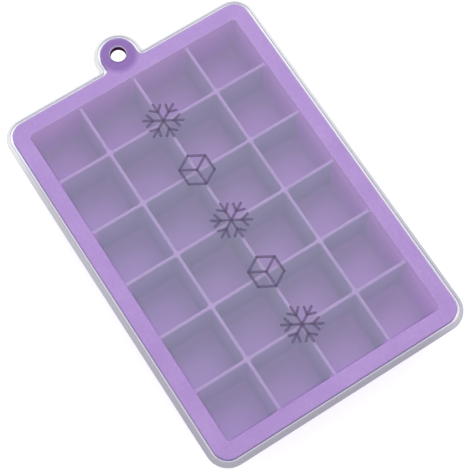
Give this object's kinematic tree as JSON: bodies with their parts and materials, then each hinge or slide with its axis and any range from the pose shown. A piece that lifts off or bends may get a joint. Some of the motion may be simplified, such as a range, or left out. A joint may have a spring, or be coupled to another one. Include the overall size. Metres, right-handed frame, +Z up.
{
  "type": "silicone ice cube tray with a clear lid",
  "caption": "Flat rectangular silicone tray with a grid of square ice cube cells and a hanging tab, capped by a thin clear lid.",
  "frame": {"origin": "middle of the whole footprint, tab and lid included, on the surface that the tray stands on", "axes": "+Y along the length towards the hanging tab, +X across the width, +Z up out of the cells"},
  "size_m": [0.1432, 0.2198, 0.03],
  "materials": {
    "silicone": "satin lilac silicone",
    "lid_plastic": "clear, slightly hazy plastic"
  },
  "bodies": {
    "root": {"silicone_tray": "silicone", "clear_lid": "lid_plastic"}
  },
  "joints": []
}
